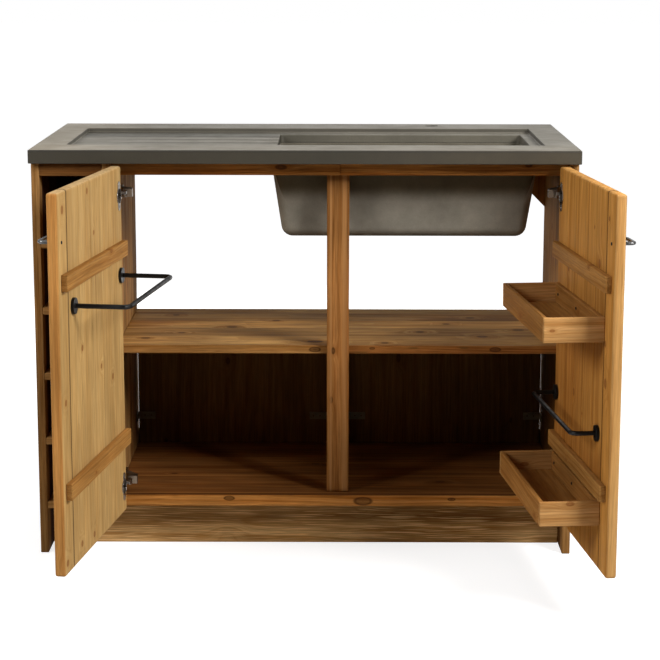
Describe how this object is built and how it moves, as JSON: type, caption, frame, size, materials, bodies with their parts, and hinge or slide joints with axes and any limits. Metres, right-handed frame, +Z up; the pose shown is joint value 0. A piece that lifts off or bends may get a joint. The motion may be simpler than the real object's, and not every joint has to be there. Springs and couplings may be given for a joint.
{
  "type": "sink base cabinet",
  "caption": "Sink base cabinet with a stone drainer worktop and bowl, a bottle rack, a shelf, and hinged boarded doors that carry battens, hanging rails, trays and bow handles.",
  "frame": {"origin": "on the floor, under the middle of the kick board: half-way along the carcass width and in the middle of the kick board's thickness", "axes": "+X to the right seen from the front, +Y to the back, towards the wall, +Z up"},
  "size_m": [1.2559, 1.127, 0.912],
  "materials": {
    "grey_stone": "matte",
    "carcass_pine": "satin",
    "door_pine": "satin",
    "black_iron": "satin",
    "hinge_steel": "satin"
  },
  "bodies": {
    "carcass": {"back_bracket_1": "hinge_steel", "back_bracket_2": "hinge_steel", "back_bracket_3": "hinge_steel", "back_bracket_4": "hinge_steel", "back_cleat": "carcass_pine", "back_panel_left": "carcass_pine", "back_panel_right": "carcass_pine", "bottom_board": "carcass_pine", "centre_stile": "carcass_pine", "corner_gusset": "carcass_pine", "hinge_arm_left_bottom": "hinge_steel", "hinge_arm_left_top": "hinge_steel", "hinge_arm_right_bottom": "hinge_steel", "hinge_arm_right_top": "hinge_steel", "kick_board": "carcass_pine", "middle_shelf": "carcass_pine", "rack_back": "carcass_pine", "rack_partition": "carcass_pine", "rack_shelf_1": "carcass_pine", "rack_shelf_2": "carcass_pine", "rack_shelf_3": "carcass_pine", "rack_shelf_4": "carcass_pine", "rack_shelf_5": "carcass_pine", "rack_top_rail": "carcass_pine", "rear_post": "carcass_pine", "side_panel_left": "carcass_pine", "side_panel_right": "carcass_pine", "sink_bowl": "grey_stone", "top_rail_front_left": "carcass_pine", "top_rail_front_right": "carcass_pine", "top_rail_rear": "carcass_pine", "worktop": "grey_stone"},
    "door_left": {"batten_left_lower": "door_pine", "batten_left_upper": "door_pine", "door_left": "door_pine", "handle_left": "black_iron", "hinge_cup_left_bottom": "hinge_steel", "hinge_cup_left_top": "hinge_steel", "rail_left": "black_iron"},
    "door_right": {"batten_right_lower": "door_pine", "batten_right_upper": "door_pine", "door_right": "door_pine", "handle_right": "black_iron", "hinge_cup_right_bottom": "hinge_steel", "hinge_cup_right_top": "hinge_steel", "rail_right": "black_iron", "tray_lower_back": "door_pine", "tray_lower_bottom": "door_pine", "tray_lower_end_free": "door_pine", "tray_lower_end_hinge": "door_pine", "tray_lower_front": "door_pine", "tray_upper_back": "door_pine", "tray_upper_bottom": "door_pine", "tray_upper_end_free": "door_pine", "tray_upper_end_hinge": "door_pine", "tray_upper_front": "door_pine"},
    "links_left": {"hinge_link_left_bottom": "hinge_steel", "hinge_link_left_top": "hinge_steel"},
    "links_right": {"hinge_link_right_bottom": "hinge_steel", "hinge_link_right_top": "hinge_steel"}
  },
  "joints": [
    {"name": "door_left_swing", "type": "hinge", "parent": "carcass", "child": "door_left", "pos_m": [-0.4225, -0.093, 0.49], "axis": [0, 0, 1], "range_deg": [-11.7, 98.3]},
    {"name": "links_left_turn", "type": "hinge", "parent": "carcass", "child": "links_left", "pos_m": [-0.4225, -0.093, 0.49], "axis": [0, 0, 1], "range_deg": [-7.12, 59.08]},
    {"name": "door_right_swing", "type": "hinge", "parent": "carcass", "child": "door_right", "pos_m": [0.5765, -0.093, 0.49], "axis": [0, 0, -1], "range_deg": [-13.7, 96.3]},
    {"name": "links_right_turn", "type": "hinge", "parent": "carcass", "child": "links_right", "pos_m": [0.5765, -0.093, 0.49], "axis": [0, 0, -1], "range_deg": [-8.32, 57.88]}
  ],
  "couplings": [
    {"joint": "links_left_turn", "follows": "door_left_swing", "ratio": 0.6},
    {"joint": "links_right_turn", "follows": "door_right_swing", "ratio": 0.6}
  ]
}
